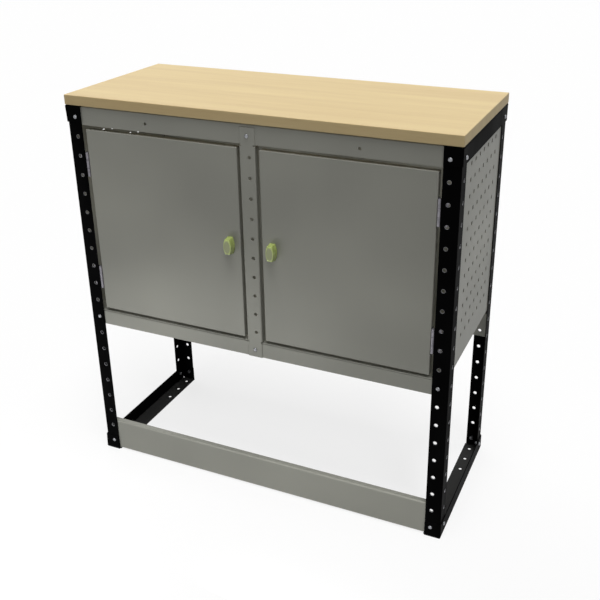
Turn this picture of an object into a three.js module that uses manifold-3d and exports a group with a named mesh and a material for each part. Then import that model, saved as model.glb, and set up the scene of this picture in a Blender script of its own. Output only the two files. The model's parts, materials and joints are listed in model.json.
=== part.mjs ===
// A steel workbench: a wooden top on a frame of drilled angle, with a two-door cabinet under it.
//
// Millimetres, +Z up, the doors face -Y. The origin lies on the floor under the middle of the
// bench's overall box, knobs included. While the pieces are made, y runs from 0 at the front of
// the side rails to benchDepth at their back, and the whole bench is moved to its origin at the end.

import * as THREE from "three";
import { mergeVertices } from "three/addons/utils/BufferGeometryUtils.js";
import Module from "manifold-3d";

const wasm = await Module();
wasm.setup();

// Overall sizes
const benchWidth = 1000;
const benchDepth = 417;
const frameHeight = 1006; // floor to the top of the side rails
const worktopThickness = 25;

// Steel and fits
const angleSheet = 2; // posts, rails and mullion
const panelSheet = 1.5; // doors, panels, floor and kick plate
const bendRadius = 4; // outside of a fold
const fitGap = 0.3; // between pieces that lie on each other

// Posts and their rows of holes
const legWidth = 40;
const holePitch = 50;
const holeDiameter = 9;
const holeGauge = 25; // from the outer face of the angle to the line of holes
const lowestHole = 28; // above the floor
const holeEdge = 15; // least steel from the last hole to the end of the post

// Side rails
const sideRailHeight = 42;
const sideRailFoot = 45; // width of the flange that lies flat
const footRelief = 1; // from the folded tab to the flat flange
const footHoles = 3;
const footHoleInset = 25; // from the end of the rail to its first flat hole

// Cabinet front
const bottomRailHeight = 40;
const topRailDrop = 20; // from the top row of holes to the lower edge of the top rail
const railFlange = 40;
const railNotchGap = 1; // between the notched top edge of the top rail and the side rails
const cabinetRow = 8; // hole row that carries the bottom rails, counted from 0 at the floor
const railHoleSpread = 545; // between the two small holes of the front top rail
const railHoleDiameter = 8;
const mullionWidth = 40;
const mullionRelief = 4; // from the rails to the folded part of the mullion
const mullionLap = 20; // of its tabs, past the middle of the bolts

// Doors
const doorGapSide = 8.7;
const doorGapEnd = 10;
const doorReturn = 15;

// Kick plate
const kickHeight = 90;
const kickFlange = 15;
const kickLift = 5; // above the floor

// Panels
const sidePanelLift = 14; // from the bottom rail up to the lower edge of a side panel
const perforationSize = 10;
const perforationPitch = 38;
const perforationFoot = 66; // from the lower edge to the first row
const perforationHead = 40; // least sheet above the last row
const perforationSide = 80; // least sheet in front of the first column and behind the last
const backPanelRow = 7; // lowest hole row that the back panel reaches
const backPanelEdge = 17; // from that row down to the lower edge
const floorSideGap = 3; // between the cabinet floor and a side panel
const floorLip = 20; // height of the floor's turned-up ends

// Hinges
const hingeLength = 63;
const hingeInset = 90; // from an end of the door to the middle of the hinge
const hingeSetback = 1; // pin axis behind the face of the door
const hingeGap = 0.5; // between knuckles
const knuckleClear = 0.4; // from a knuckle to the door and to the post
const leafSheet = 1.5;
const postLeafWidth = 20; // from the pin axis
const doorLeafWidth = 13; // from the pin axis
const pinRadius = 1.4;
const pinClear = 0.6;
const pinHeadLength = 1;

// Latches
const latchInset = 27.7; // from the inner edge of the door to the spindle
const knobReach = 19.5; // in front of the door
const gripHeight = 43;
const gripWidth = 23.5; // at the middle
const gripEndWidth = 13.5;
const gripFront = 0.88; // size of the front face as a share of the back face
const spindleDiameter = 8;
const latchNutDiameter = 18;
const latchNutLength = 4;
const camLength = 44; // spindle to tip
const camWidth = 14;
const camSheet = 2;
const camClear = 0.8; // behind the returned edges of the door and the mullion
const spindleTail = 2; // behind the cam

// Bolts
const boltDiameter = 6;
const boltHeadDiameter = 10;
const boltHeadLength = 3;
const boltNutDiameter = 11;
const boltNutLength = 5;

// Facets
const bendSteps = 2;
const holeSides = 6;
const nutSides = 6;
const roundSides = 12;

// Working allowances of the solids
const overcut = 1; // how far a cutter runs past the faces it cuts
const weld = 1e-4; // corners closer than this are one

// Planes and levels that follow from the sizes above
const halfWidth = benchWidth / 2;
const postFace = angleSheet + fitGap; // front of the posts and the mullion
const railFace = postFace + angleSheet + fitGap; // front of the rails and the doors, behind the posts
const postSide = halfWidth - angleSheet - fitGap; // outer side of the posts
const postInner = postSide - legWidth; // inner edge of the posts' front flange
const panelSide = postSide - angleSheet - fitGap; // outer side of the side panels
const lining = Math.max(angleSheet + fitGap + panelSheet, bendRadius); // post and panel, or the fold
const insideHalf = postSide - lining - fitGap; // half the room between the side panels
const panelEdge = postFace + bendRadius + fitGap; // front edge of the side panels, past the posts' fold
const postFoot = angleSheet + fitGap;
const postHead = frameHeight - angleSheet - fitGap;
const holeColumn = postSide - holeGauge;
const holeLine = postFace + holeGauge; // holes of the side flanges, from the front or the back
const rowCount = Math.floor((postHead - holeEdge - lowestHole) / holePitch) + 1;
const rows = Array.from({ length: rowCount }, (_, k) => lowestHole + k * holePitch);
const topRow = rows[rowCount - 1];
const floorRow = rows[cabinetRow];
const topRailFoot = topRow - topRailDrop;
const bottomRailFoot = floorRow - bottomRailHeight / 2;
const bottomRailHead = floorRow + bottomRailHeight / 2;
const doorFoot = bottomRailHead + doorGapEnd;
const doorHead = topRailFoot - doorGapEnd;
const doorMiddle = (doorFoot + doorHead) / 2;
const doorInner = mullionWidth / 2 + doorGapSide;
const doorOuter = postInner - doorGapSide;
const doorBack = railFace + doorReturn;
const backPanelFace = benchDepth - railFace; // outer face of the back panel
const backRailFace = backPanelFace - panelSheet - fitGap; // back of the rear bottom rail

// Finishes: colour, roughness and metalness
const finishes = {
  black: [0x101011, 0.55, 0.3],
  grey: [0x8a8a80, 0.5, 0.3],
  wood: [0xe4cfa0, 0.6, 0],
  zinc: [0xb4b6ba, 0.35, 0.9],
  hinge: [0x88848a, 0.4, 0.8],
  brass: [0x9a9a52, 0.35, 0.8],
};

const bench = new THREE.Group();

function addPiece(name, geometry, finish) {
  const [color, roughness, metalness] = finishes[finish];
  const mesh = new THREE.Mesh(
    geometry,
    new THREE.MeshStandardMaterial({ color, roughness, metalness }),
  );
  mesh.name = name;
  bench.add(mesh);
}

// Solids: joining and cutting

function toSolid(geometry) {
  const bare = new THREE.BufferGeometry();
  bare.setAttribute("position", geometry.getAttribute("position"));
  bare.setIndex(geometry.getIndex());
  const merged = mergeVertices(bare, weld);
  return new wasm.Manifold(
    new wasm.Mesh({
      numProp: 3,
      vertProperties: new Float32Array(merged.getAttribute("position").array),
      triVerts: new Uint32Array(merged.getIndex().array),
    }),
  );
}

function toGeometry(solid) {
  const mesh = solid.getMesh();
  const geometry = new THREE.BufferGeometry();
  geometry.setAttribute("position", new THREE.BufferAttribute(mesh.vertProperties, 3));
  geometry.setIndex(new THREE.BufferAttribute(mesh.triVerts, 1));
  geometry.computeVertexNormals();
  return geometry;
}

function join(geometries) {
  return toGeometry(geometries.map(toSolid).reduce((whole, next) => whole.add(next)));
}

function cut(geometry, cutters) {
  const tool = cutters.map(toSolid).reduce((whole, next) => whole.add(next));
  return toGeometry(toSolid(geometry).subtract(tool));
}

// Shapes: boxes, prisms along an axis, round bars and folded profiles

// Two places on an axis, the lower one first.
function span(a, b) {
  return a < b ? [a, b] : [b, a];
}

function box(x0, x1, y0, y1, z0, z1) {
  const geometry = new THREE.BoxGeometry(Math.abs(x1 - x0), y1 - y0, z1 - z0);
  return geometry.translate((x0 + x1) / 2, (y0 + y1) / 2, (z0 + z1) / 2);
}

// A shape drawn in (y, z) is pushed along x, one in (x, z) along y, and one in (x, y) along z.
const turnToX = new THREE.Matrix4().makeBasis(
  new THREE.Vector3(0, 1, 0),
  new THREE.Vector3(0, 0, 1),
  new THREE.Vector3(1, 0, 0),
);

function prism(shape, axis, from, to) {
  const geometry = new THREE.ExtrudeGeometry(shape, {
    depth: to - from,
    bevelEnabled: false,
    curveSegments: bendSteps,
  });
  if (axis === "x") return geometry.applyMatrix4(turnToX).translate(from, 0, 0);
  if (axis === "y") return geometry.rotateX(Math.PI / 2).translate(0, to, 0);
  return geometry.translate(0, 0, from);
}

// A round bar through (x, y, z) along an axis, from one place on that axis to another.
function bar(axis, diameter, from, to, [x, y, z], sides = holeSides) {
  const geometry = new THREE.CylinderGeometry(diameter / 2, diameter / 2, to - from, sides);
  const middle = (from + to) / 2;
  if (axis === "x") return geometry.rotateZ(Math.PI / 2).translate(middle, y, z);
  if (axis === "y") return geometry.translate(x, middle, z);
  return geometry.rotateX(Math.PI / 2).translate(x, y, middle);
}

// An angle with its outer corner at (u, v), its legs running along the signs du and dv.
function angleShape(u, v, du, dv, legU, legV, sheet) {
  const shape = new THREE.Shape();
  shape.moveTo(u, v + dv * legV);
  shape.lineTo(u, v + dv * bendRadius);
  shape.quadraticCurveTo(u, v, u + du * bendRadius, v);
  shape.lineTo(u + du * legU, v);
  shape.lineTo(u + du * legU, v + dv * sheet);
  shape.lineTo(u + du * bendRadius, v + dv * sheet);
  shape.quadraticCurveTo(u + du * sheet, v + dv * sheet, u + du * sheet, v + dv * bendRadius);
  shape.lineTo(u + du * sheet, v + dv * legV);
  shape.closePath();
  return shape;
}

// A channel whose web runs from (u, v0) to (u, v1), its flanges running along the sign du.
function channelShape(u, v0, v1, du, flange, sheet) {
  const shape = new THREE.Shape();
  const inside = u + du * sheet;
  const bend = u + du * bendRadius;
  const edge = u + du * flange;
  shape.moveTo(edge, v0);
  shape.lineTo(bend, v0);
  shape.quadraticCurveTo(u, v0, u, v0 + bendRadius);
  shape.lineTo(u, v1 - bendRadius);
  shape.quadraticCurveTo(u, v1, bend, v1);
  shape.lineTo(edge, v1);
  shape.lineTo(edge, v1 - sheet);
  shape.lineTo(bend, v1 - sheet);
  shape.quadraticCurveTo(inside, v1 - sheet, inside, v1 - bendRadius);
  shape.lineTo(inside, v0 + bendRadius);
  shape.quadraticCurveTo(inside, v0 + sheet, bend, v0 + sheet);
  shape.lineTo(edge, v0 + sheet);
  shape.closePath();
  return shape;
}

// A drill along y through a band of the given front and back planes.
function drillY(x, z, front, back, diameter = holeDiameter) {
  return bar("y", diameter, front - overcut, back + overcut, [x, 0, z]);
}

const sides = [
  ["left", -1],
  ["right", 1],
];
const ends = [
  ["front", 0, 1],
  ["rear", benchDepth, -1],
];

// Worktop: a flat board flush with the frame all round
const worktopFoot = frameHeight + fitGap;
addPiece(
  "worktop",
  box(-halfWidth, halfWidth, 0, benchDepth, worktopFoot, worktopFoot + worktopThickness),
  "wood",
);

// Posts: angles with a row of holes in both flanges
for (const [side, sx] of sides) {
  for (const [end, edge, sy] of ends) {
    const face = edge + sy * postFace;
    const shape = angleShape(sx * postSide, face, -sx, sy, legWidth, legWidth, angleSheet);
    const flange = span(face, face + sy * angleSheet);
    const wall = span(sx * postSide, sx * (postSide - angleSheet));
    const drills = rows.flatMap((z) => [
      drillY(sx * holeColumn, z, ...flange),
      bar("x", holeDiameter, wall[0] - overcut, wall[1] + overcut, [0, edge + sy * holeLine, z]),
    ]);
    addPiece(`post_${end}_${side}`, cut(prism(shape, "z", postFoot, postHead), drills), "black");
  }
}

// Side rails: a web outside the posts, tabs folded round their ends and a flange that lies flat
for (const [side, sx] of sides) {
  for (const level of ["top", "bottom"]) {
    const high = level === "top";
    const foot = high ? frameHeight - sideRailHeight : 0;
    const head = foot + sideRailHeight;
    const flat = high ? head - angleSheet : foot;
    const row = high ? topRow : lowestHole;
    const tabWidth = legWidth + angleSheet;
    const web = channelShape(sx * halfWidth, 0, benchDepth, -sx, tabWidth, angleSheet);
    const flatStart = angleSheet + footRelief;
    const flange = box(
      sx * (halfWidth - sideRailFoot),
      sx * (halfWidth - angleSheet / 2),
      flatStart,
      benchDepth - flatStart,
      flat,
      flat + angleSheet,
    );
    const wall = span(sx * halfWidth, sx * (halfWidth - angleSheet));
    const through = [flat - overcut, flat + angleSheet + overcut];
    const drills = ends.flatMap(([, edge, sy]) => {
      const tab = span(edge, edge + sy * angleSheet);
      const holes = [
        drillY(sx * holeColumn, row, ...tab),
        bar("x", holeDiameter, wall[0] - overcut, wall[1] + overcut, [0, edge + sy * holeLine, row]),
      ];
      for (let k = 0; k < footHoles; k += 1) {
        const y = edge + sy * (footHoleInset + k * holePitch);
        holes.push(bar("z", holeDiameter, ...through, [sx * holeColumn, y, 0]));
      }
      return holes;
    });
    const blank = join([prism(web, "z", foot, head), flange]);
    addPiece(`side_rail_${level}_${side}`, cut(blank, drills), "black");
  }
}

// Cross rails: angles bolted to the posts at one row of holes, the flange at the top edge
function crossRail(name, faceY, sy, [foot, head], row, extraDrills, notches = []) {
  const shape = angleShape(faceY, head, sy, -1, railFlange, head - foot, angleSheet);
  const leg = span(faceY, faceY + sy * angleSheet);
  const drills = [-holeColumn, holeColumn].map((x) => drillY(x, row, ...leg));
  for (const [x, diameter] of extraDrills) drills.push(drillY(x, row, ...leg, diameter));
  addPiece(name, cut(prism(shape, "x", -insideHalf, insideHalf), [...drills, ...notches]), "grey");
}
const topRailHoles = [-1, 1].map((s) => [(s * railHoleSpread) / 2, railHoleDiameter]);
const topDrills = [[0, holeDiameter], ...topRailHoles];
const topBand = [topRailFoot, frameHeight];
const bottomBand = [bottomRailFoot, bottomRailHead];

// The top rail carries the board between the side rails, and its ends pass under their flat flanges
const topNotches = sides.map(([, sx]) =>
  box(
    sx * (halfWidth - sideRailFoot - railNotchGap),
    sx * (insideHalf + overcut),
    railFace - overcut,
    railFace + railFlange + overcut,
    postHead,
    frameHeight + overcut,
  ),
);
crossRail("front_top_rail", railFace, 1, topBand, topRow, topDrills, topNotches);
crossRail("front_bottom_rail", railFace, 1, bottomBand, floorRow, [[0, holeDiameter]]);
crossRail("rear_bottom_rail", backRailFace, -1, bottomBand, floorRow, []);

// Mullion: a channel between the rails, its web carried on as tabs that lap over them
{
  const half = mullionWidth / 2;
  const foldFoot = bottomRailHead + mullionRelief;
  const foldHead = topRailFoot - mullionRelief;
  const web = new THREE.Matrix4().makeBasis(
    new THREE.Vector3(0, 1, 0),
    new THREE.Vector3(1, 0, 0),
    new THREE.Vector3(0, 0, -1),
  );
  const shape = channelShape(postFace, -half, half, 1, doorBack - postFace, angleSheet);
  const channel = prism(shape, "z", 0, foldHead - foldFoot)
    .applyMatrix4(web)
    .translate(0, 0, foldHead);
  const back = postFace + angleSheet;
  const lap = bendRadius;
  const tabs = [
    box(-half, half, postFace, back, floorRow - mullionLap, foldFoot + lap),
    box(-half, half, postFace, back, foldHead - lap, topRow + mullionLap),
  ];
  const drills = [drillY(0, floorRow, postFace, back), drillY(0, topRow, postFace, back)];
  for (const z of rows) {
    if (z > floorRow && z < topRow) drills.push(drillY(holeGauge - half, z, postFace, back));
  }
  addPiece("mullion", cut(join([channel, ...tabs]), drills), "grey");
}

// Kick plate: an angle of sheet at the foot, its flange at the top edge
{
  const head = kickLift + kickHeight;
  const shape = angleShape(railFace, head, 1, -1, kickFlange, kickHeight, panelSheet);
  const drills = rows
    .filter((z) => z > kickLift && z + holeDiameter < head)
    .flatMap((z) => [-holeColumn, holeColumn].map((x) => drillY(x, z, railFace, railFace + panelSheet)));
  addPiece("kick_plate", cut(prism(shape, "x", -insideHalf, insideHalf), drills), "grey");
}

// Side panels: perforated sheets inside the posts
const sidePanelFoot = bottomRailHead + sidePanelLift;
for (const [side, sx] of sides) {
  const wall = span(sx * panelSide, sx * (panelSide - panelSheet));
  const sheet = box(...wall, panelEdge, benchDepth - panelEdge, sidePanelFoot, postHead);
  const holes = ends.map(([, edge, sy]) =>
    bar("x", holeDiameter, wall[0] - overcut, wall[1] + overcut, [0, edge + sy * holeLine, topRow]),
  );
  const depth = benchDepth - 2 * panelEdge;
  const columns = Math.floor((depth - 2 * perforationSide) / perforationPitch) + 1;
  const height = postHead - sidePanelFoot;
  const lines = Math.floor((height - perforationFoot - perforationHead) / perforationPitch) + 1;
  const firstColumn = benchDepth / 2 - ((columns - 1) * perforationPitch) / 2;
  const half = perforationSize / 2;
  for (let line = 0; line < lines; line += 1) {
    const z = sidePanelFoot + perforationFoot + line * perforationPitch;
    for (let column = 0; column < columns; column += 1) {
      const y = firstColumn + column * perforationPitch;
      holes.push(box(wall[0] - overcut, wall[1] + overcut, y - half, y + half, z - half, z + half));
    }
  }
  addPiece(`side_panel_${side}`, cut(sheet, holes), "grey");
}

// Back panel: one sheet inside the rear posts
const backPanelInside = backPanelFace - panelSheet;
{
  const sheet = box(
    -insideHalf,
    insideHalf,
    backPanelInside,
    backPanelFace,
    rows[backPanelRow] - backPanelEdge,
    postHead,
  );
  const drills = [rows[backPanelRow], floorRow, topRow].flatMap((z) =>
    [-holeColumn, holeColumn].map((x) => drillY(x, z, backPanelInside, backPanelFace)),
  );
  addPiece("back_panel", cut(sheet, drills), "grey");
}

// Cabinet floor: a sheet on the two bottom rails, its ends turned up inside the side panels
{
  const foot = bottomRailHead + fitGap;
  const half = insideHalf - floorSideGap;
  const depth = [railFace, backPanelInside - fitGap];
  const sheet = box(-half, half, ...depth, foot, foot + panelSheet);
  const lips = sides.map(([, sx]) =>
    box(sx * (half - panelSheet), sx * half, ...depth, foot, foot + floorLip),
  );
  addPiece("cabinet_floor", join([sheet, ...lips]), "grey");
}

// Doors: pans open at the back, with a hole for the spindle
const latchX = doorInner + latchInset;
const spindleHole = spindleDiameter + 2 * fitGap;
for (const [side, sx] of sides) {
  const pan = box(sx * doorInner, sx * doorOuter, railFace, doorBack, doorFoot, doorHead);
  const hollow = box(
    sx * (doorInner + panelSheet),
    sx * (doorOuter - panelSheet),
    railFace + panelSheet,
    doorBack + overcut,
    doorFoot + panelSheet,
    doorHead - panelSheet,
  );
  const hole = bar(
    "y",
    spindleHole,
    railFace - overcut,
    railFace + panelSheet + overcut,
    [sx * latchX, 0, doorMiddle],
    roundSides,
  );
  addPiece(`door_${side}`, cut(pan, [hollow, hole]), "grey");
}

// Hinges: three knuckles in the gap beside the door, two on the post leaf and one on the door leaf
const hingeX = (doorOuter + postInner) / 2;
const hingeY = railFace + hingeSetback;
const knuckleRadius = doorGapSide / 2 - knuckleClear;
const knuckleLength = (hingeLength - 2 * hingeGap) / 3;
const boreDiameter = 2 * (pinRadius + pinClear);
for (const [side, sx] of sides) {
  for (const [level, middle] of [
    ["top", doorHead - hingeInset],
    ["bottom", doorFoot + hingeInset],
  ]) {
    const x = sx * hingeX;
    const foot = middle - hingeLength / 2;
    const head = middle + hingeLength / 2;
    const knuckle = (from, to) => bar("z", 2 * knuckleRadius, from, to, [x, hingeY, 0], roundSides);
    const bore = bar("z", boreDiameter, foot - overcut, head + overcut, [x, hingeY, 0]);
    const clear = knuckleRadius + hingeGap;
    const leafFace = railFace;
    const leafBack = leafFace + leafSheet;
    const outerKnuckles = [
      [foot, foot + knuckleLength],
      [head - knuckleLength, head],
    ];
    const postLeaf = [
      box(x + sx * clear, x + sx * postLeafWidth, leafFace, leafBack, foot, head),
      ...outerKnuckles.flatMap(([from, to]) => [
        knuckle(from, to),
        box(x, x + sx * (clear + leafSheet), leafFace, leafBack, from, to),
      ]),
    ];
    addPiece(`hinge_post_leaf_${level}_${side}`, cut(join(postLeaf), [bore]), "hinge");

    const leafSide = x - sx * knuckleRadius;
    const leafInside = leafSide + sx * leafSheet;
    const from = foot + knuckleLength + hingeGap;
    const to = head - knuckleLength - hingeGap;
    const doorLeaf = [
      box(leafSide, leafInside, hingeY + clear, hingeY + doorLeafWidth, foot, head),
      box(leafSide, leafInside, hingeY, hingeY + clear + leafSheet, from, to),
      knuckle(from, to),
    ];
    addPiece(`hinge_door_leaf_${level}_${side}`, cut(join(doorLeaf), [bore]), "hinge");
    addPiece(
      `hinge_pin_${level}_${side}`,
      bar("z", 2 * pinRadius, foot - pinHeadLength, head + pinHeadLength, [x, hingeY, 0]),
      "zinc",
    );
  }
}

// The back face of a knob's grip about (x, z): widest at its middle, with blunt ends
function gripShape(x, z) {
  const wide = gripWidth / 2;
  const narrow = gripEndWidth / 2;
  const tall = gripHeight / 2;
  const shape = new THREE.Shape();
  shape.moveTo(x + narrow, z - tall);
  shape.quadraticCurveTo(x + 2 * wide - narrow, z, x + narrow, z + tall);
  shape.lineTo(x - narrow, z + tall);
  shape.quadraticCurveTo(x - 2 * wide + narrow, z, x - narrow, z - tall);
  shape.closePath();
  return shape;
}

// The grip itself, drawn in towards its front face
function grip(x, z, front, back) {
  const geometry = prism(gripShape(x, z), "y", front, back);
  const points = geometry.getAttribute("position");
  const middle = (front + back) / 2;
  for (let k = 0; k < points.count; k += 1) {
    if (points.getY(k) < middle) {
      points.setX(k, x + (points.getX(k) - x) * gripFront);
      points.setZ(k, z + (points.getZ(k) - z) * gripFront);
    }
  }
  return geometry;
}

// Latches: a thumb turn on a spindle through the door, its nut, and a cam that hangs down at rest
for (const [side, sx] of sides) {
  const centre = [sx * latchX, 0, doorMiddle];
  const base = railFace - fitGap;
  const tip = railFace - knobReach;
  const camFace = doorBack + camClear;
  const camBack = camFace + camSheet;
  const knob = [
    grip(sx * latchX, doorMiddle, tip, base),
    bar("y", spindleDiameter, base - fitGap, camBack + spindleTail, centre, roundSides),
  ];
  addPiece(`latch_knob_${side}`, join(knob), "brass");

  const nutFace = railFace + panelSheet + fitGap;
  const nut = bar("y", latchNutDiameter, nutFace, nutFace + latchNutLength, centre, nutSides);
  const spindleBore = bar(
    "y",
    spindleHole,
    nutFace - overcut,
    camBack + overcut,
    centre,
    roundSides,
  );
  addPiece(`latch_nut_${side}`, cut(nut, [spindleBore]), "zinc");

  const cam = new THREE.Shape();
  const camRadius = camWidth / 2;
  cam.absarc(sx * latchX, doorMiddle, camRadius, 0, Math.PI);
  cam.absarc(sx * latchX, doorMiddle - camLength + camRadius, camRadius, Math.PI, 2 * Math.PI);
  addPiece(`latch_cam_${side}`, cut(prism(cam, "y", camFace, camBack), [spindleBore]), "zinc");
}

// Bolts: head, shank and nut in one, turned about their axis and clear of what they hold
function bolt(name, grip, place) {
  const head = boltHeadDiameter / 2;
  const shank = boltDiameter / 2;
  const nut = boltNutDiameter / 2;
  const nutFace = grip + 2 * fitGap;
  const outline = [
    [0, -boltHeadLength],
    [head, -boltHeadLength],
    [head, 0],
    [shank, 0],
    [shank, nutFace],
    [nut, nutFace],
    [nut, nutFace + boltNutLength],
    [0, nutFace + boltNutLength],
  ].map(([radius, along]) => new THREE.Vector2(radius, along));
  const geometry = new THREE.LatheGeometry(outline, holeSides).translate(0, -fitGap, 0);
  addPiece(name, place(geometry), "zinc");
}

const postAndRail = 2 * angleSheet + fitGap;
const postAndSheet = angleSheet + fitGap + panelSheet;
for (const [side, sx] of sides) {
  for (const [end, edge, sy] of ends) {
    for (const [level, row] of [
      ["top", topRow],
      ["bottom", lowestHole],
    ]) {
      const turn = sy > 0 ? 0 : Math.PI;
      const behind = level === "top" && end === "front" ? postAndRail : postAndSheet;
      bolt(`bolt_tab_${end}_${level}_${side}`, angleSheet + fitGap + behind, (geometry) =>
        geometry.rotateZ(turn).translate(sx * holeColumn, edge, row),
      );
      bolt(`bolt_side_${end}_${level}_${side}`, angleSheet + fitGap + postAndSheet, (geometry) =>
        geometry.rotateZ((sx * Math.PI) / 2).translate(sx * halfWidth, edge + sy * holeLine, row),
      );
    }
  }
  bolt(`bolt_rail_front_${side}`, postAndRail, (geometry) =>
    geometry.translate(sx * holeColumn, postFace, floorRow),
  );
  bolt(`bolt_rail_rear_${side}`, postAndSheet + fitGap + angleSheet, (geometry) =>
    geometry.rotateZ(Math.PI).translate(sx * holeColumn, benchDepth - postFace, floorRow),
  );
}
for (const [level, row] of [
  ["top", topRow],
  ["bottom", floorRow],
]) {
  bolt(`bolt_mullion_${level}`, postAndRail, (geometry) => geometry.translate(0, postFace, row));
}

// The overall box runs from the knobs in front to the bolt heads behind
const furthestFront = railFace - knobReach;
const furthestBack = benchDepth + fitGap + boltHeadLength;
bench.position.y = -(furthestFront + furthestBack) / 2;

export default bench;
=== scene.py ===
# %% [markdown]
# A steel workbench with a wooden top and a two-door cabinet
#
# The bench stands on four posts of drilled black angle. Black rails join the posts at the sides,
# grey folded sheet makes the cabinet between them, and a pale board lies on top. This lesson dresses
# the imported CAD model: every sheet is folded again with true bends and round holes, every fastener
# gets its real head, and every surface gets a finish made of shader nodes.

# %% Load the CAD model as the fixed frame
import bpy
import bmesh
import json
from math import cos, pi, radians, sin
from mathutils import Matrix, Vector


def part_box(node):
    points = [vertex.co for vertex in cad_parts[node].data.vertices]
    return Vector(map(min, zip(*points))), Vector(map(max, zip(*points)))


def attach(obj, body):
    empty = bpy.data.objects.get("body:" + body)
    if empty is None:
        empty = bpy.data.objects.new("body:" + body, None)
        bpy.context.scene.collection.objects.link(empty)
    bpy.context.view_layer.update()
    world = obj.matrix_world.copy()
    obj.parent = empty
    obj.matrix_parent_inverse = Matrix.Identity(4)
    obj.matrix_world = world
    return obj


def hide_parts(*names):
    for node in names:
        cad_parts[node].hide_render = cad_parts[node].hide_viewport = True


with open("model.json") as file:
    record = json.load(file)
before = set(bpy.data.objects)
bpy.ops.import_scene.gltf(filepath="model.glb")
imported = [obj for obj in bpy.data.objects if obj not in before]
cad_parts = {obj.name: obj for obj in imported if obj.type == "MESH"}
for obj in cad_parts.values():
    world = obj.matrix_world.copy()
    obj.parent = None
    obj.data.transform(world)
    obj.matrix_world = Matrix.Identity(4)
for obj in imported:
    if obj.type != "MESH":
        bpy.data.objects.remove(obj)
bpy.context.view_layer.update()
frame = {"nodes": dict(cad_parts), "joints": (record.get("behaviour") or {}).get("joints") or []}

# %% [markdown]
# Sizes that the whole bench shares
#
# Most places are read from the boxes of the CAD nodes, so that a piece goes where the frame says.
# What a box cannot tell, such as the thickness of the sheet or the spacing of the holes, is named
# here once, in metres.

# %% Shared sizes
X, Y, Z = 0, 1, 2
angle_sheet = 0.002
panel_sheet = 0.0015
bend_radius = 0.004
bend_steps = 5
edge_round = 0.0003
hole_diameter = 0.009
hole_pitch = 0.05
hole_gauge = 0.025
first_hole = 0.028
hole_rows = 20
rail_row = 8
top_hole = first_hole + (hole_rows - 1) * hole_pitch
rail_hole = first_hole + rail_row * hole_pitch
hole_sides = 28
hexagon = 6
overcut = 0.001
clearance = 0.0003
tiny = 1e-5
nearly_one = 0.9
flat_angle = radians(1)
sharp_angle = radians(60)

post_low, post_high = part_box("post_front_right")
board_low, board_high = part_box("worktop")
bench_middle = (board_low.y + board_high.y) / 2
hole_column = post_high.x - hole_gauge
hole_line = post_low.y + hole_gauge
joint_place = {joint["child"]: Vector(joint["pos_m"]) for joint in frame["joints"]}
print("holes at x", round(hole_column, 4), "and y", round(hole_line, 4), "in", hole_rows, "rows")

# %% [markdown]
# Working by hand from a script
#
# Blender's operators act on whatever is selected, and the loaded CAD nodes are all selected at
# first. These helpers keep that in order: they select one object, name a new one, open and close a
# mesh, round edges, and join flat faces that a cut has split. Faces and edges could be picked by
# their numbers, but those change with every operator, so they are picked by where they are.

# %% Selecting
def only(piece):
    """Makes one object the only selected one, and the active one."""
    bpy.ops.object.select_all(action="DESELECT")
    piece.select_set(True)
    bpy.context.view_layer.objects.active = piece


def newest(name):
    """Names the object that was just added, and returns it."""
    piece = bpy.context.object
    piece.name = name
    return piece


def size_of(piece):
    """The size of a piece, rounded for printing."""
    return [round(length, 4) for length in piece.dimensions]


def open_mesh(piece, kind):
    """Goes into edit mode on a piece, with nothing selected."""
    only(piece)
    bpy.ops.object.mode_set(mode="EDIT")
    bpy.ops.mesh.select_mode(type=kind)
    bpy.ops.mesh.select_all(action="DESELECT")


def close_mesh():
    """Goes back to object mode."""
    bpy.ops.object.mode_set(mode="OBJECT")


def pick_faces(piece, wanted):
    """Selects the faces for which wanted(middle, normal) is true."""
    shape = bmesh.from_edit_mesh(piece.data)
    for face in shape.faces:
        face.select_set(bool(wanted(face.calc_center_median(), face.normal)))
    bmesh.update_edit_mesh(piece.data)


def pick_edges(piece, wanted):
    """Selects the edges for which wanted(start, end) is true."""
    shape = bmesh.from_edit_mesh(piece.data)
    for edge in shape.edges:
        edge.select_set(bool(wanted(edge.verts[0].co, edge.verts[1].co)))
    bmesh.update_edit_mesh(piece.data)


def bevel_edges(piece, wanted, width, steps):
    """Rounds the edges for which wanted(start, end) is true."""
    open_mesh(piece, "EDGE")
    pick_edges(piece, wanted)
    bpy.ops.mesh.bevel(offset=width, segments=steps, affect="EDGES")
    close_mesh()


def join_flat_faces():
    """Joins the faces of the open mesh that lie in one plane."""
    bpy.ops.mesh.select_all(action="SELECT")
    bpy.ops.mesh.dissolve_limited(angle_limit=flat_angle)


def unit(axis):
    """The unit vector of an axis."""
    return Vector([1.0 if k == axis else 0.0 for k in (X, Y, Z)])


print("selecting is ready")

# %% [markdown]
# Stock and cutters
#
# A workshop starts from flat bar and round bar, and so does this bench: a cube becomes a block
# between two corners, a cylinder a rod along an axis, and half a sphere the head of a bolt or a
# rivet. Arrays repeat a cutter, and the Boolean modifier cuts or joins. Modifiers could stay live,
# but each is applied at once, so that the next tool works on the real edges and every piece ends as
# plain mesh.

# %% Blocks, rods and domes
dome_sides, dome_rings = 24, 16


def block(name, low, high):
    """A block between two corners, with its place in its mesh."""
    bpy.ops.object.select_all(action="DESELECT")
    low, high = Vector(low), Vector(high)
    bpy.ops.mesh.primitive_cube_add(size=1, location=(low + high) / 2, scale=high - low)
    bpy.ops.object.transform_apply()
    return newest(name)


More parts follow.
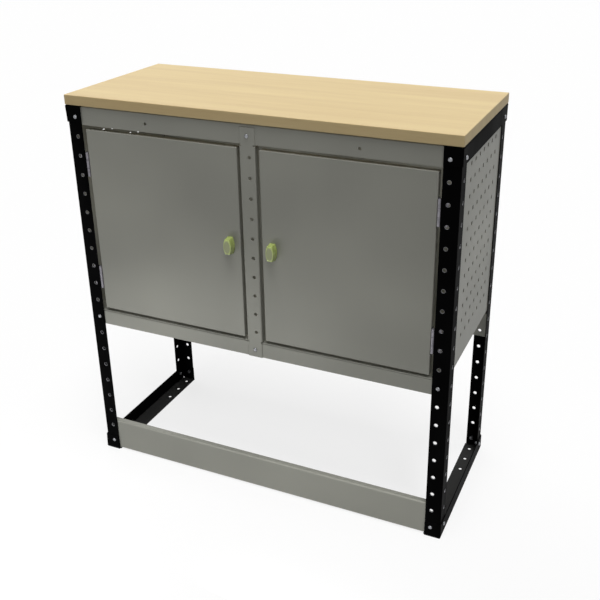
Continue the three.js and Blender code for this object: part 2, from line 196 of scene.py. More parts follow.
def rod(name, axis, diameter, start, end, place, sides=hole_sides):
    """A round bar along an axis from start to end, through a place."""
    bpy.ops.object.select_all(action="DESELECT")
    middle = Vector(place)
    middle[axis] = (start + end) / 2
    turn = {X: (0, pi / 2, 0), Y: (pi / 2, 0, 0), Z: (0, 0, 0)}[axis]
    bpy.ops.mesh.primitive_cylinder_add(
        vertices=sides, radius=diameter / 2, depth=end - start, location=middle, rotation=turn
    )
    bpy.ops.object.transform_apply()
    return newest(name)


def drill(axis, diameter, start, end, place):
    """A cutter for a round hole, a little longer than the sheet from start to end."""
    return rod("drill", axis, diameter, start - overcut, end + overcut, place)


def dome(name, axis, sign, diameter, height, place):
    """A low round head that stands on a face, pointing along the sign of an axis."""
    bpy.ops.object.select_all(action="DESELECT")
    radius = diameter / 2
    bpy.ops.mesh.primitive_uv_sphere_add(segments=dome_sides, ring_count=dome_rings, radius=radius)
    head = newest(name)
    open_mesh(head, "FACE")
    bpy.ops.mesh.select_all(action="SELECT")
    bpy.ops.mesh.bisect(plane_co=(0, 0, 0), plane_no=unit(axis) * sign, use_fill=True, clear_inner=True)
    bpy.ops.mesh.select_all(action="SELECT")
    flatten = [height / radius if k == axis else 1 for k in (X, Y, Z)]
    bpy.ops.transform.resize(value=flatten, center_override=(0, 0, 0))
    bpy.ops.transform.translate(value=place)
    close_mesh()
    return head


print("stock is ready")

# %% Modifiers
def apply_modifier(piece, kind, **settings):
    """Adds one modifier and applies it."""
    only(piece)
    modifier = piece.modifiers.new(kind, kind)
    for name, value in settings.items():
        setattr(modifier, name, value)
    bpy.ops.object.modifier_apply(modifier=modifier.name)


def repeat(piece, step, count):
    """Repeats a piece in a straight row."""
    apply_modifier(
        piece, "ARRAY", count=count, use_relative_offset=False,
        use_constant_offset=True, constant_offset_displace=step,
    )
    return piece


def gather(pieces):
    """Joins several objects into the first, as loose bodies of one mesh."""
    only(pieces[0])
    for piece in pieces[1:]:
        piece.select_set(True)
    if len(pieces) > 1:
        bpy.ops.object.join()
    return pieces[0]


def combine(piece, tool, operation):
    """Cuts a tool out of a piece, or joins it on, and deletes the tool."""
    apply_modifier(piece, "BOOLEAN", object=tool, operation=operation, solver="EXACT")
    bpy.data.objects.remove(tool)


def cut(piece, tools):
    """Cuts loose tools out of a piece."""
    combine(piece, gather(tools), "DIFFERENCE")


def unite(piece, others):
    """Joins other bodies onto a piece as one skin."""
    for other in others:
        combine(piece, other, "UNION")
    return piece


def ease_edges(piece, width=edge_round, steps=1):
    """Breaks the sharp edges of a piece."""
    apply_modifier(
        piece, "BEVEL", width=width, segments=steps, limit_method="ANGLE", angle_limit=sharp_angle
    )
    return piece


print("cutting is ready")

# %% [markdown]
# Folding sheet
#
# The posts, rails, mullion and kick plate are flat strips with flanges turned up on a press. A
# profile could be drawn and swept, but folding is closer to the real work, and a flange can then
# stop short of the strip's end. Bisect splits a plate near its edge, the narrow strip is extruded
# into a flange, and the two lines of the fold are bevelled, the outer one with the bend radius and
# the inner one with what the sheet leaves of it.

# %% Fold a flange and round its bend
def fold(plate, low, high, thin, across, end, reach, span=None):
    """Turns up a flange at one end of a plate and returns the outer and inner lines of the fold.

    thin is the axis of the sheet's thickness, across the axis whose low (0) or high (1) end is
    folded, reach the place on the thin axis that the flange goes to, and span its length if it is
    shorter than the plate.
    """
    sheet = high[thin] - low[thin]
    edge = (low, high)[end][across]
    seam = edge + (sheet, -sheet)[end]
    away = reach > high[thin]
    start = high[thin] if away else low[thin]
    along = X + Y + Z - thin - across
    splits = [(across, seam)] + [(along, place) for place in span or ()]
    open_mesh(plate, "FACE")
    for axis, place in splits:
        bpy.ops.mesh.select_all(action="SELECT")
        bpy.ops.mesh.bisect(plane_co=unit(axis) * place, plane_no=unit(axis))

    def in_strip(middle, normal):
        if abs(normal[thin]) < nearly_one or abs(middle[thin] - start) > tiny:
            return False
        if span and not span[0] < middle[along] < span[1]:
            return False
        return abs(middle[across] - edge) < sheet

    pick_faces(plate, in_strip)
    bpy.ops.mesh.extrude_region_move(TRANSFORM_OT_translate={"value": unit(thin) * (reach - start)})
    join_flat_faces()
    close_mesh()
    outer = {thin: low[thin] if away else high[thin], across: edge}
    inner = {thin: start, across: seam}
    return outer, inner, sheet


def round_bend(piece, bend):
    """Bevels the two lines of a fold."""
    outer, inner, sheet = bend
    for line, radius in ((outer, bend_radius), (inner, bend_radius - sheet)):

        def on_line(a, b, line=line):
            return all(abs(a[k] - v) < tiny and abs(b[k] - v) < tiny for k, v in line.items())

        bevel_edges(piece, on_line, radius, bend_steps)


def mirrored(piece, name, axis, plane=0.0):
    """A copy with its own mesh, mirrored in a plane across an axis."""
    only(piece)
    bpy.ops.object.duplicate()
    copy = newest(name)
    flip = [-1 if k == axis else 1 for k in (X, Y, Z)]
    bpy.ops.transform.resize(value=flip, center_override=unit(axis) * plane)
    bpy.ops.object.transform_apply()
    open_mesh(copy, "FACE")
    bpy.ops.mesh.select_all(action="SELECT")
    bpy.ops.mesh.normals_make_consistent(inside=False)
    close_mesh()
    return copy


print("folding is ready")

# %% [markdown]
# Shader maths as plain sums
#
# A finish is a small web of shader nodes. Each node could be added and linked by hand, but the sums
# would then be hard to read. A Wire wraps one socket, so that a sum such as 1 - mask * 0.2 in Python
# adds the Math nodes itself. A NodeWeb holds the nodes: its add method makes any node from its type,
# its settings and what goes into its sockets. A Finish is the web of one material around a
# Principled shader.

# %% Wires and finishes
class Wire:
    """An output socket that takes part in Python sums."""

    def __init__(self, web, socket):
        self.web = web
        self.socket = socket

    def math(self, operation, first, second):
        """Adds one Math node to the web."""
        return self.web.add("ShaderNodeMath", {"operation": operation}, {0: first, 1: second})

    def __add__(self, other):
        return self.math("ADD", self, other)

    def __sub__(self, other):
        return self.math("SUBTRACT", self, other)

    def __rsub__(self, other):
        return self.math("SUBTRACT", other, self)

    def __mul__(self, other):
        return self.math("MULTIPLY", self, other)

    def away(self, centre):
        """The distance from a centre, on either side of it."""
        return self.math("ABSOLUTE", self - centre, 0.0)

    __radd__ = __add__
    __rmul__ = __mul__


class NodeWeb:
    """The nodes of a material or of the world."""

    def __init__(self, tree):
        self.tree = tree

    def add(self, kind, settings=None, inputs=None, output=0):
        """Adds a node, sets it up, feeds its sockets and returns one of its outputs."""
        node = self.tree.nodes.new(kind)
        for name, value in (settings or {}).items():
            setattr(node, name, value)
        for key, value in (inputs or {}).items():
            self.feed(node.inputs[key], value)
        return Wire(self, node.outputs[output])

    def feed(self, socket, value):
        """Links a wire to a socket, or sets the socket to a plain value."""
        if isinstance(value, Wire):
            self.tree.links.new(value.socket, socket)
        else:
            socket.default_value = value

    def place(self, scale=(1, 1, 1)):
        """Object coordinates in metres, stretched by a scale along each axis."""
        where = self.add("ShaderNodeTexCoord", output="Object")
        return self.add("ShaderNodeMapping", inputs={"Vector": where, "Scale": scale})

    def along(self, axis):
        """How far a point lies along X, Y or Z, in metres."""
        return self.add("ShaderNodeSeparateXYZ", inputs={"Vector": self.place()}, output="XYZ"[axis])

    def noise(self, where, scale, detail=3.0, roughness=0.5):
        """A cloud of values about one half."""
        return self.add(
            "ShaderNodeTexNoise",
            inputs={"Vector": where, "Scale": scale, "Detail": detail, "Roughness": roughness},
        )

    def spread(self, value, low, high):
        """Stretches the band from low to high to 0 to 1, and clips the rest."""
        return self.add(
            "ShaderNodeMapRange", {"clamp": True}, {"Value": value, "From Min": low, "From Max": high}
        )

    def tint(self, mask, first, second):
        """Mixes two colours by a mask."""
        return self.add(
            "ShaderNodeMix", {"data_type": "RGBA"}, {0: mask, 6: first, 7: second}, output=2
        )


class Finish(NodeWeb):
    """One material around a Principled shader, whose fixed sockets are set by name."""

    def __init__(self, name, **constants):
        self.material = bpy.data.materials.new(name)
        self.material.use_nodes = True
        super().__init__(self.material.node_tree)
        self.shader = self.tree.nodes["Principled BSDF"]
        for socket, value in constants.items():
            self.shader.inputs[socket.replace("_", " ")].default_value = value

    def drive(self, name, value):
        """Feeds one socket of the shader."""
        self.feed(self.shader.inputs[name], value)

    def relief(self, height, strength, distance):
        """Feeds the shader's normal with a bump of that height in metres."""
        bump = {"Height": height, "Strength": strength, "Distance": distance}
        self.drive("Normal", self.add("ShaderNodeBump", inputs=bump))


print("finishes can be mixed")

# %% [markdown]
# Black paint on the angle
#
# Powder paint on the posts is nearly black and hardly shines, with a fine orange peel that only
# shows in a raking light. A constant black would look like a hole in the picture, so a cloud makes
# some patches a little duller and greyer, as handling does. The walls of the holes and a narrow rim
# round each are painted light: they get the lighter grey and the metal of bare steel, as if the holes
# were punched through the paint, and they stand in for the lit inside seen through them. The rims
# could be rings of mesh, but a mask needs no more faces: it is the distance to the nearest hole, which
# follows from the pitch and the two lines of holes. The flanges that lie on the floor are greyed, by
# dust and by painted light, which lightens their tops as if no shadow fell on them.

# %% Black paint
# A narrow band round each hole is painted light, in the colour and metal of bare steel.
painted_rim_light_width = 0.0004
rim_fade = 0.0002
rim_edge = hole_diameter / 2 + painted_rim_light_width
# Below this height the black is greyed by dust and by painted light on the tops of the floor flanges.
dust_and_light_foot, dust_and_light_head = angle_sheet + clearance, angle_sheet + 3 * clearance


def hole_distance(finish):
    """How far a point of the black angle is from the middle of the nearest hole."""
    up = finish.along(Z) - first_hole
    row = up.math("PINGPONG", up, hole_pitch / 2)
    column = finish.along(X).away(0.0) - hole_column
    line = finish.along(Y).away(bench_middle) - (bench_middle - hole_line)
    front, side = (row * row + offset * offset for offset in (column, line))
    return row.math("SQRT", row.math("MINIMUM", front, side), 0.0)


black_paint = Finish("black_paint", Specular_IOR_Level=0.004)
peel = black_paint.noise(black_paint.place(), scale=900.0, detail=2.0)
handling = black_paint.noise(black_paint.place((1, 1, 0.4)), scale=9.0, detail=5.0)
dull = black_paint.spread(handling, 0.42, 0.72)
deep_black = (0.0026, 0.0026, 0.0027, 1)
worn_black = (0.0060, 0.0060, 0.0062, 1)
# Dust and painted light from above, for the tops of the flanges on the floor.
dust_and_top_light_grey = (0.045, 0.045, 0.044, 1)
# A lighter bare-steel grey: painted light for the lit inside seen through the holes.
bare_steel_painted_rim_light = (0.30, 0.30, 0.315, 1)
# Painted light round each hole, on its wall and a narrow rim.
painted_rim_light_mask = black_paint.spread(hole_distance(black_paint), rim_edge + rim_fade, rim_edge)
# Dust and painted top light on the flanges that lie on the floor.
dust_and_top_light_mask = black_paint.spread(black_paint.along(Z), dust_and_light_head, dust_and_light_foot)
painted = black_paint.tint(dull, deep_black, worn_black)
dusty_and_lit = black_paint.tint(dust_and_top_light_mask, painted, dust_and_top_light_grey)
black_paint.drive("Base Color", black_paint.tint(painted_rim_light_mask, dusty_and_lit, bare_steel_painted_rim_light))
black_paint.drive("Metallic", painted_rim_light_mask * 0.4)
black_paint.drive("Roughness", dull * 0.16 + 0.42)
black_paint.relief(peel, strength=0.25, distance=0.0002)
print("made", black_paint.material.name)

# %% [markdown]
# Grey paint on the sheet
#
# The doors, rails and panels wear a warm grey paint with metal in it. It mirrors its surroundings
# softly, so large faces are never quite even. An image could be wrapped round each sheet, but noise
# that fills space has no seams. One cloud as large as a door and a finer one vary the colour and the
# gloss. The large cloud is random tone and also painted sheen: it lightens and darkens the colour as
# soft reflections would. A faint grain stands for the rolled sheet under the paint.

# %% Grey paint
grey_paint = Finish("grey_paint", Metallic=0.12, Specular_IOR_Level=0.2)
shade_grey = (0.275, 0.276, 0.244, 1)
light_grey = (0.368, 0.368, 0.323, 1)
# Random tone and painted sheen: a door-sized cloud that lightens and darkens the grey as soft
# reflections would.
sheen_clouds = grey_paint.noise(grey_paint.place((1, 1, 1.4)), scale=2.6, detail=1.0)
drift_and_sheen = grey_paint.spread(sheen_clouds, 0.3, 0.7)
speckle = grey_paint.noise(grey_paint.place(), scale=700.0, detail=2.0)
film = grey_paint.noise(grey_paint.place((1, 1, 0.3)), scale=14.0, detail=5.0)
tone = drift_and_sheen * 0.8 + film * 0.2
grey_paint.drive("Base Color", grey_paint.tint(tone, shade_grey, light_grey))
grey_paint.drive("Roughness", film * 0.14 + 0.36)
grey_paint.relief(speckle, strength=0.18, distance=0.0002)
print("made", grey_paint.material.name)

# %% [markdown]
# Pale wood of the worktop
#
# The board is a close-grained pale timber under oil. Grain runs along the bench: a noise that is
# stretched along X gives broad bands, and a finer one gives pores. Rings from a Wave texture could
# draw the grain too, but they are too regular for such plain timber. Noise fills space, so the ends
# of the board show it cut across, as end grain.

# %% Pale wood
pale_wood = Finish("pale_wood", Specular_IOR_Level=0.2)
summer_wood = (0.715, 0.545, 0.285, 1)
spring_wood = (0.790, 0.630, 0.345, 1)
pore_brown = (0.54, 0.37, 0.17, 1)
bands = pale_wood.noise(pale_wood.place((0.9, 16, 16)), scale=1.6, detail=6.0, roughness=0.55)
pores = pale_wood.noise(pale_wood.place((14, 520, 520)), scale=1.0, roughness=0.6)
grain = pale_wood.spread(bands, 0.32, 0.68)
pits = pale_wood.spread(pores, 0.58, 0.76)
board_tone = pale_wood.tint(grain, summer_wood, spring_wood)
pale_wood.drive("Base Color", pale_wood.tint(pits * 0.35, board_tone, pore_brown))
pale_wood.drive("Roughness", pits * 0.12 + grain * 0.06 + 0.48)
pale_wood.relief(pores, strength=0.22, distance=0.0004)
print("made", pale_wood.material.name)

# %% [markdown]
# Plated and bare metal
#
# Bolts and latch fittings are zinc plated, hinges are bare satin steel with a violet cast, and the
# knobs are castings with a yellow-green passivated skin, which hides most of the metal. All three
# differ in colour, gloss and how much bare metal shows, so one function makes them: a cloud shifts
# between two tones and roughens the surface. The middle of each knob's front is darker and greyer:
# it is rubbed by fingers, and it is painted shade, which makes the flat front look less lit than its
# rim. A second material could show that, but a mask fades out softly, so an oval patch there is
# greyer.

# %% Metals
def metal(name, dark, pale, roughness, stretch=(1, 1, 1), **constants):
    """A metal between two tones, with its polish drawn out along the stretched axis."""
    finish = Finish(name, **constants)
    cloud = finish.noise(finish.place(), scale=120.0, detail=4.0)
    polish = finish.noise(finish.place(stretch), scale=500.0, detail=2.0)
    finish.tone = finish.tint(finish.spread(cloud, 0.35, 0.68), dark, pale)
    finish.drive("Base Color", finish.tone)
    finish.drive("Roughness", cloud * 0.16 + polish * 0.1 + roughness)
    finish.relief(polish, strength=0.12, distance=0.0001)
    return finish


drawn = (1, 1, 0.05)
zinc_dark, zinc_pale = (0.17, 0.175, 0.185, 1), (0.30, 0.305, 0.32, 1)
steel_dark, steel_pale = (0.15, 0.145, 0.16, 1), (0.22, 0.21, 0.23, 1)
zinc_plate = metal("zinc_plate", zinc_dark, zinc_pale, roughness=0.2, Metallic=1.0)
satin_steel = metal("satin_steel", steel_dark, steel_pale, roughness=0.3, stretch=drawn, Metallic=1.0)
print("made", zinc_plate.material.name, "and", satin_steel.material.name)

# %% Yellow castings
skin_dark, skin_pale = (0.39, 0.48, 0.12, 1), (0.52, 0.63, 0.19, 1)
# Painted shade and rubbing: a darker, greyer olive for the middle of each knob's front.
skin_rubbed_and_shaded = (0.285, 0.315, 0.13, 1)
rubbed_and_shaded_depth = 0.0005
rubbed_and_shaded_share = 0.72
patch_inside, patch_outside = 0.8, 1.2
yellow_skin = metal(
    "yellow_passivated", skin_dark, skin_pale, roughness=0.1,
    Metallic=0.15, Coat_Weight=1.0, Coat_Roughness=0.10,
)
knob_low, knob_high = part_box("latch_knob_right")
knob_middle = (knob_low + knob_high) / 2
patch = (knob_high - knob_low) / 2 * rubbed_and_shaded_share
across = (yellow_skin.along(X).away(0.0) - knob_middle.x) * (1 / patch.x)
upward = (yellow_skin.along(Z) - knob_middle.z) * (1 / patch.z)
# The oval patch of painted shade and rubbing on the front face of each knob.
rubbed_and_shaded_oval = yellow_skin.spread(across * across + upward * upward, patch_outside, patch_inside)
front = yellow_skin.spread(yellow_skin.along(Y), knob_low.y + rubbed_and_shaded_depth, knob_low.y)
yellow_skin.drive("Base Color", yellow_skin.tint(rubbed_and_shaded_oval * front, yellow_skin.tone, skin_rubbed_and_shaded))
print("made", yellow_skin.material.name)

# %% [markdown]
# Handing a piece over
#
# A finished piece is shaded smooth up to a set angle. Its normals are then weighted by the size of the
# faces, so that a large flat face stays flat up to its rounded edge. It gets the finish of its material
# slot, rides on its body, and the CAD nodes it stands for are hidden. The bench is the same on both
# sides, so most pieces are made on the right and mirrored to the left.

# %% Settle a piece
finish_of_slot = {
    "black_angle": black_paint,
    "grey_sheet": grey_paint,
    "wood_top": pale_wood,
    "zinc": zinc_plate,
    "hinge_steel": satin_steel,
    "knob_brass": yellow_skin,
}
smooth_angle = radians(32)


def settle(piece, body, slot, *nodes):
    """Shades a finished piece, gives it the finish of its slot, ties it to its body and hides the nodes
    it replaces.
    """
    only(piece)
    bpy.ops.object.shade_smooth_by_angle(angle=smooth_angle)
    apply_modifier(piece, "WEIGHTED_NORMAL", keep_sharp=True)
    piece.data.materials.clear()
    piece.data.materials.append(finish_of_slot[slot].material)
    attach(piece, body)
    if nodes:
        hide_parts(*nodes)


def left(name):
    """What a piece, node or body of the right side is called on the left."""
    return name.replace("right", "left")


def settle_pair(piece, body, slot, *nodes):
    """Mirrors a finished piece of the right side to the left, and settles both."""
    twin = mirrored(piece, left(piece.name), X)
    settle(piece, body, slot, *nodes)
    settle(twin, left(body), slot, *map(left, nodes))


print("slots:", ", ".join(finish_of_slot))

# %% [markdown]
# The worktop
#
# One solid board, flush with the frame. A plain block would give its shape, but its edges are broken
# by hand with sandpaper, and that small round draws the bright line along the top in the light, so
# it is modelled with a bevel.

# %% Worktop
board_round = 0.0016
board = block("worktop_board", board_low, board_high)
ease_edges(board, board_round, steps=3)
settle(board, "frame", "wood_top", "worktop")
print("worktop", size_of(board))

# %% [markdown]
# The posts
#
# Each post is one length of angle with a row of round holes in both flanges. The holes could be
# painted on, but light shows through them, so they are cut: one post is folded, its edges are eased,
# and two rows of drills go through it at once. The other three are mirror copies, because every post
# has its open side towards the middle of the bench.

# %% Posts
post_web_high = Vector((post_high.x, post_low.y + angle_sheet, post_high.z))
post = block("post_front_right_angle", post_low, post_web_high)
round_bend(post, fold(post, post_low, post_web_high, Y, X, 1, post_high.y))
ease_edges(post)
drills = (
    drill(Y, hole_diameter, post_low.y, post_web_high.y, (hole_column, 0, first_hole)),
    drill(X, hole_diameter, post_high.x - angle_sheet, post_high.x, (0, hole_line, first_hole)),
)
cut(post, [repeat(one, (0, 0, hole_pitch), hole_rows) for one in drills])
rear_post = mirrored(post, "post_rear_right_angle", Y, bench_middle)
settle_pair(post, "frame", "black_angle", "post_front_right")
settle_pair(rear_post, "frame", "black_angle", "post_rear_right")
print("posts with", len(post.data.polygons), "faces each")

# %% [markdown]
# The side rails
#
# A side rail is a strip that runs from front to back outside the posts. Its ends are folded round
# the posts as tabs and its lower edge is folded flat to stand on the floor. A small notch in each
# corner lets the three folds pass each other, as a sheet-metal worker would cut it, and past the
# notch the flat flange goes on to the tab. The top rails could be folded in the same way, but they
# are the same piece upside down, with the flat flange under the board, so they are mirror copies.

# %% Fold a side rail
tab_width = 0.042
relief_width = 0.004
tab_clear = 0.001
rail_low, rail_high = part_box("side_rail_bottom_right")
rail_web_low = Vector((rail_high.x - angle_sheet, rail_low.y, rail_low.z))
tab_reach = rail_high.x - tab_width
flat_start = rail_low.y + bend_radius + relief_width
flat_end = rail_high.y - (flat_start - rail_low.y)

rail = block("side_rail_bottom_right_angle", rail_web_low, rail_high)
flat_bend = fold(rail, rail_web_low, rail_high, X, Z, 0, rail_low.x, (flat_start, flat_end))
tab_bends = [fold(rail, rail_web_low, rail_high, X, Y, end, tab_reach) for end in (0, 1)]
notch_low = (rail_web_low.x - overcut, rail_low.y + bend_radius, rail_low.z - overcut)
notch_high = (rail_high.x + overcut, flat_start, rail_low.z + bend_radius + edge_round)
notch = block("notch", notch_low, notch_high)
cut(rail, [notch, mirrored(notch, "rear_notch", Y, bench_middle)])
for bend in (flat_bend, *tab_bends):
    round_bend(rail, bend)
ear_low = (rail_low.x, rail_low.y + angle_sheet + tab_clear, rail_low.z)
ear_side = rail_high.x - bend_radius - relief_width
ear_high = (ear_side, flat_start + overcut, rail_low.z + angle_sheet)
ear = block("ear", ear_low, ear_high)
unite(rail, [ear, mirrored(ear, "rear_ear", Y, bench_middle)])
open_mesh(rail, "FACE")
join_flat_faces()
close_mesh()
ease_edges(rail)
print("side rail folded", size_of(rail))

# %% Drill the side rail and copy it
foot_hole_inset = 0.025
foot_holes = 3
drills = []
for start, sign in ((rail_low.y, 1), (rail_high.y, -1)):
    tab = sorted((start, start + sign * angle_sheet))
    drills.append(drill(Y, hole_diameter, *tab, (hole_column, 0, first_hole)))
    line = hole_line if sign > 0 else 2 * bench_middle - hole_line
    drills.append(drill(X, hole_diameter, rail_web_low.x, rail_high.x, (0, line, first_hole)))
    foot_place = (hole_column, start + sign * foot_hole_inset, 0)
    foot_drill = drill(Z, hole_diameter, rail_low.z, rail_low.z + angle_sheet, foot_place)
    drills.append(repeat(foot_drill, (0, sign * hole_pitch, 0), foot_holes))
cut(rail, drills)

frame_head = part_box("side_rail_top_right")[1].z
top_rail = mirrored(rail, "side_rail_top_right_angle", Z, frame_head / 2)
settle_pair(rail, "frame", "black_angle", "side_rail_bottom_right")
settle_pair(top_rail, "frame", "black_angle", "side_rail_top_right")
print("side rails with", len(rail.data.polygons), "faces each")

# %% [markdown]
# Cross rails and kick plate
#
# Three grey angles run across the bench between the posts: one over the doors, one under them and
# one behind that carries the back of the cabinet floor. The kick plate is a taller angle of thinner
# sheet. They are all the same piece of work, so one function folds and drills them. The rail over the
# doors also carries the board, so its top edge is notched at both ends to pass under the side rails.

# %% Cross rails and kick plate
small_hole = 0.008
small_hole_spread = 0.545
notch_gap = 0.001


def drills_through(start, end, holes):
    """Drills along Y through a sheet from start to end, one for each hole's (x, z, diameter)."""
    return [drill(Y, size, start, end, (x, 0, z)) for x, z, size in holes]


def cross_angle(node, sheet, behind, holes, notches=()):
    """A lengthwise angle with its flange at the top edge, drilled and notched."""
    low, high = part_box(node)
    web_low, web_high = low.copy(), high.copy()
    if behind:
        web_low.y = high.y - sheet
    else:
        web_high.y = low.y + sheet
    reach = low.y if behind else high.y
    piece = block(f"{node}_sheet", web_low, web_high)
    round_bend(piece, fold(piece, web_low, web_high, Y, Z, 1, reach))
    ease_edges(piece)
    cut(piece, [*drills_through(web_low.y, web_high.y, holes), *notches])
    settle(piece, "frame", "grey_sheet", node)


def post_holes(*levels):
    """The holes that the bolts of both posts pass through."""
    return [(side * hole_column, level, hole_diameter) for level in levels for side in (-1, 1)]


top_small = [(side * small_hole_spread / 2, top_hole, small_hole) for side in (-1, 1)]
mullion_holes = [(0, level, hole_diameter) for level in (rail_hole, top_hole)]
top_holes = post_holes(top_hole) + top_small + mullion_holes[1:]
top_low, top_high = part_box("front_top_rail")
beside_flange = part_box("side_rail_top_right")[0].x - notch_gap
notch_low = (beside_flange, top_low.y - overcut, post_high.z)
notch = block("notch", notch_low, top_high + Vector((overcut, overcut, overcut)))
top_notches = [notch, mirrored(notch, "left_notch", X)]
cross_angle("front_top_rail", angle_sheet, False, top_holes, top_notches)
cross_angle("front_bottom_rail", angle_sheet, False, post_holes(rail_hole) + mullion_holes[:1])
cross_angle("rear_bottom_rail", angle_sheet, True, post_holes(rail_hole))
cross_angle("kick_plate", panel_sheet, False, post_holes(first_hole, first_hole + hole_pitch))
print("cross rails and kick plate folded")

# %% [markdown]
# The mullion
#
# Between the doors stands a narrow channel. Its web goes on past the folded part as two tabs that
# lap over the rails and are bolted to them. A swept profile would have its sides at the tabs too, so
# a flat strip gets two short folds. As on the side rails, a notch ends each of them.

# %% Mullion
mullion_relief = 0.004
mullion_low, mullion_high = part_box("mullion")
mullion_web = Vector((mullion_high.x, mullion_low.y + angle_sheet, mullion_high.z))
fold_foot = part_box("front_bottom_rail")[1].z + mullion_relief
fold_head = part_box("front_top_rail")[0].z - mullion_relief
mullion = block("mullion_channel", mullion_low, mullion_web)
mullion_bends = [
    fold(mullion, mullion_low, mullion_web, Y, X, end, mullion_high.y, (fold_foot, fold_head))
    for end in (0, 1)
]
notch_depth = bend_radius + edge_round
notches = []
for foot in (fold_foot - mullion_relief, fold_head):
    for edge in (mullion_low.x - overcut, mullion_high.x - notch_depth):
        corner = Vector((edge, mullion_low.y - overcut, foot))
        size = Vector((notch_depth + overcut, angle_sheet + 2 * overcut, mullion_relief))
        notches.append(block("notch", corner, corner + size))
cut(mullion, notches)
for bend in mullion_bends:
    round_bend(mullion, bend)
ease_edges(mullion)
rows_between = round((top_hole - rail_hole) / hole_pitch) - 1
row_start = (mullion_low.x + hole_gauge, rail_hole + hole_pitch, hole_diameter)
*tab_drills, row_drill = drills_through(mullion_low.y, mullion_web.y, [*mullion_holes, row_start])
cut(mullion, [*tab_drills, repeat(row_drill, (0, 0, hole_pitch), rows_between)])
settle(mullion, "frame", "grey_sheet", "mullion")
print("mullion with", rows_between, "free holes")

# %% [markdown]
# Side panels, back panel and floor
#
# The sides are perforated with square holes for tool hooks. A punch leaves slightly round corners,
# so the cutter is a block with its four long edges bevelled, repeated along the depth and then up
# the panel. Each hole could be cut by itself, but one Boolean with all the cutters is faster and
# leaves cleaner faces. The back is a plain sheet, and the floor is a tray with its two ends turned
# up.

# %% Side panels
perforation = 0.01
perforation_round = 0.0009
perforation_steps = 2
perforation_pitch = 0.038
perforation_columns = 7
perforation_lines = 12
perforation_foot = 0.066

panel_low, panel_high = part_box("side_panel_right")
panel = block("side_panel_right_sheet", panel_low, panel_high)
ease_edges(panel)
first_column = bench_middle - (perforation_columns - 1) / 2 * perforation_pitch
punch_middle = Vector((panel_low.x, first_column, panel_low.z + perforation_foot))
punch_half = Vector((2 * panel_sheet, perforation / 2, perforation / 2))
punch = block("punch", punch_middle - punch_half, punch_middle + punch_half)
bevel_edges(punch, lambda a, b: abs(a.x - b.x) > panel_sheet, perforation_round, perforation_steps)
repeat(punch, (0, perforation_pitch, 0), perforation_columns)
repeat(punch, (0, 0, perforation_pitch), perforation_lines)
bolt_places = [(0, y, top_hole) for y in (hole_line, 2 * bench_middle - hole_line)]
panel_drills = [drill(X, hole_diameter, panel_low.x, panel_high.x, place) for place in bolt_places]
cut(panel, [punch, *panel_drills])
settle_pair(panel, "frame", "grey_sheet", "side_panel_right")
print(perforation_columns * perforation_lines, "square holes in each side panel")

# %% Back panel and floor
back_low, back_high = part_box("back_panel")
back = block("back_panel_sheet", back_low, back_high)
ease_edges(back)
back_holes = post_holes(rail_hole - hole_pitch, rail_hole, top_hole)
cut(back, drills_through(back_low.y, back_high.y, back_holes))
settle(back, "frame", "grey_sheet", "back_panel")

tray_low, tray_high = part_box("cabinet_floor")
tray_web_high = Vector((tray_high.x, tray_high.y, tray_low.z + panel_sheet))
tray = block("cabinet_floor_tray", tray_low, tray_web_high)
tray_bends = [fold(tray, tray_low, tray_web_high, Z, X, end, tray_high.z) for end in (0, 1)]
for bend in tray_bends:
    round_bend(tray, bend)
ease_edges(tray)
settle(tray, "frame", "grey_sheet", "cabinet_floor")
print("back panel", size_of(back), "floor", size_of(tray))

# %% [markdown]
# The doors
#
# A door is a shallow pan: a flat face with all four edges turned back. Four flanges could be folded
# one by one, but the corners are welded, so one shell is simpler. It starts as a block whose back
# face is deleted. The edges of the front and the corners are bevelled together as tight bends, and
# Solidify gives the shell its thickness inwards, so the outside keeps its size. Last, the hole for
# the latch spindle is drilled.

# %% Doors
door_bend = 0.0019
spindle_hole = 0.0086
latch_axis = joint_place["right_latch"]

door_low, door_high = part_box("door_right")
door = block("door_right_pan", door_low, door_high)
open_mesh(door, "FACE")
pick_faces(door, lambda middle, normal: normal.y > nearly_one)
bpy.ops.mesh.delete(type="ONLY_FACE")
close_mesh()
bevel_edges(door, lambda a, b: min(a.y, b.y) < door_high.y - tiny, door_bend, bend_steps)
apply_modifier(door, "SOLIDIFY", thickness=panel_sheet, offset=-1, use_even_offset=True)
latch_hole = (latch_axis.x, latch_axis.z, spindle_hole)
cut(door, drills_through(door_low.y, door_low.y + panel_sheet, [latch_hole]))
settle_pair(door, "right_door", "grey_sheet", "door_right")
print("doors", size_of(door))

# %% [markdown]
# The hinges
#
# Each hinge has three knuckles on one pin in the gap beside the door. The outer two belong to a leaf
# behind the post and the middle one to a leaf on the edge of the door. A knuckle could be rolled
# from its leaf with Spin, but from outside a bored rod looks the same. So knuckles are rods, leaves
# are blocks, and a union makes each pair one piece, which is then bored for the pin. The rivets that
# hold the leaves show only inside the cabinet.

# %% Hinges
knuckle_gap = 0.0005
knuckle_diameter = 0.0079
knuckle_round = 0.0004
knuckle_sides = 40
leaf_sheet = 0.0015
pin_diameter = 0.0028
pin_sides = 20
bore_diameter = 0.004
rivet_diameter = 0.0052
rivet_height = 0.0012
rivet_spread = 0.04
hinge_axis = joint_place["right_door"]


def knuckle(start, end):
    """One knuckle on the hinge line, with eased ends."""
    barrel = rod("knuckle", Z, knuckle_diameter, start, end, hinge_axis, knuckle_sides)
    return ease_edges(barrel, knuckle_round, steps=2)


def leaf(name, low, high, neck_low, neck_high, spans):
    """A bored leaf: a plate, and for each span in Z a knuckle and the neck that joins both."""
    plate = ease_edges(block(name, low, high))
    for start, end in spans:
        unite(plate, [block("neck", (*neck_low, start), (*neck_high, end)), knuckle(start, end)])
    cut(plate, [drill(Z, bore_diameter, low.z, high.z, hinge_axis)])
    return plate


